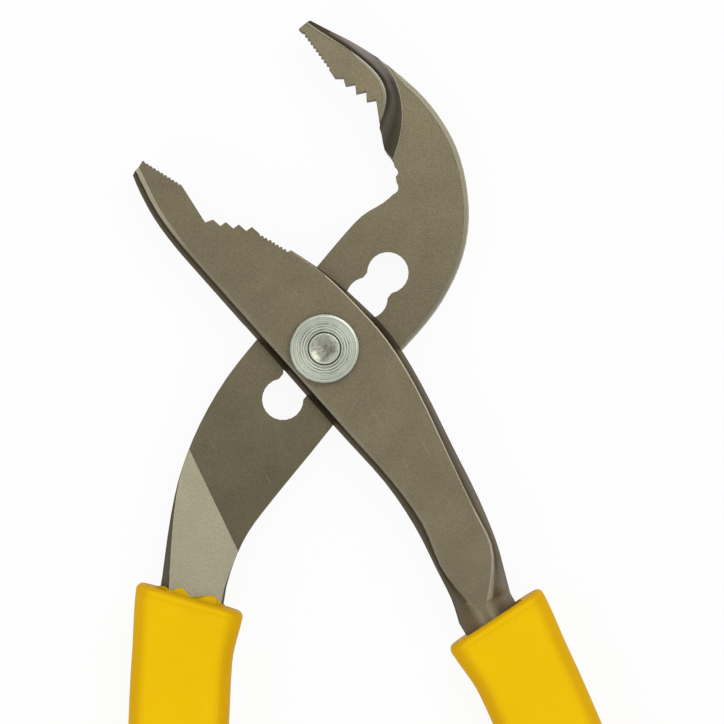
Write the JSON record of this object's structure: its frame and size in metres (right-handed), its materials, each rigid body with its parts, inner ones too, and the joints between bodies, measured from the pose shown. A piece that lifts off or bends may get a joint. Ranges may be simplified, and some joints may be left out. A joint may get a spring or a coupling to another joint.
{
  "type": "water pump pliers",
  "caption": "Insulated water pump pliers: crossed forged arms with hooked, toothed jaws on a stud that slides along a slot of round seats, and thick yellow grips.",
  "frame": {"origin": "on the stud's axis, in the plane that the stud's head and the grips rest on", "axes": "+Z out of the front face along the stud, +Y towards the jaws between the two arms, +X towards the front arm's handle"},
  "size_m": [0.1475, 0.2492, 0.0186],
  "materials": {
    "forged_steel": "satin, blasted and lightly ground, with a warm grey tone",
    "zinc_plate": "turned and zinc plated",
    "washer_steel": "plain rolled",
    "dipped_liner": "dipped, satin",
    "yellow_sleeve": "moulded, satin"
  },
  "bodies": {
    "front_half": {"front_arm": "forged_steel", "pivot_stud": "zinc_plate", "pivot_collar": "zinc_plate", "front_grip_liner": "dipped_liner", "front_grip_sleeve": "yellow_sleeve"},
    "washer": {"rear_washer": "washer_steel"},
    "rear_half": {"rear_arm": "forged_steel", "rear_grip_liner": "dipped_liner", "rear_grip_sleeve": "yellow_sleeve"}
  },
  "joints": [
    {"name": "jaw_pivot", "type": "hinge", "parent": "front_half", "child": "washer", "pos_m": [0, 0, 0.009], "axis": [0, 0, 1], "range_deg": [-10, 23.5]},
    {"name": "slot_slide", "type": "slide", "parent": "washer", "child": "rear_half", "axis": [0.6388, 0.7694, 0], "range_m": [-0.0219, 0.0146]}
  ]
}
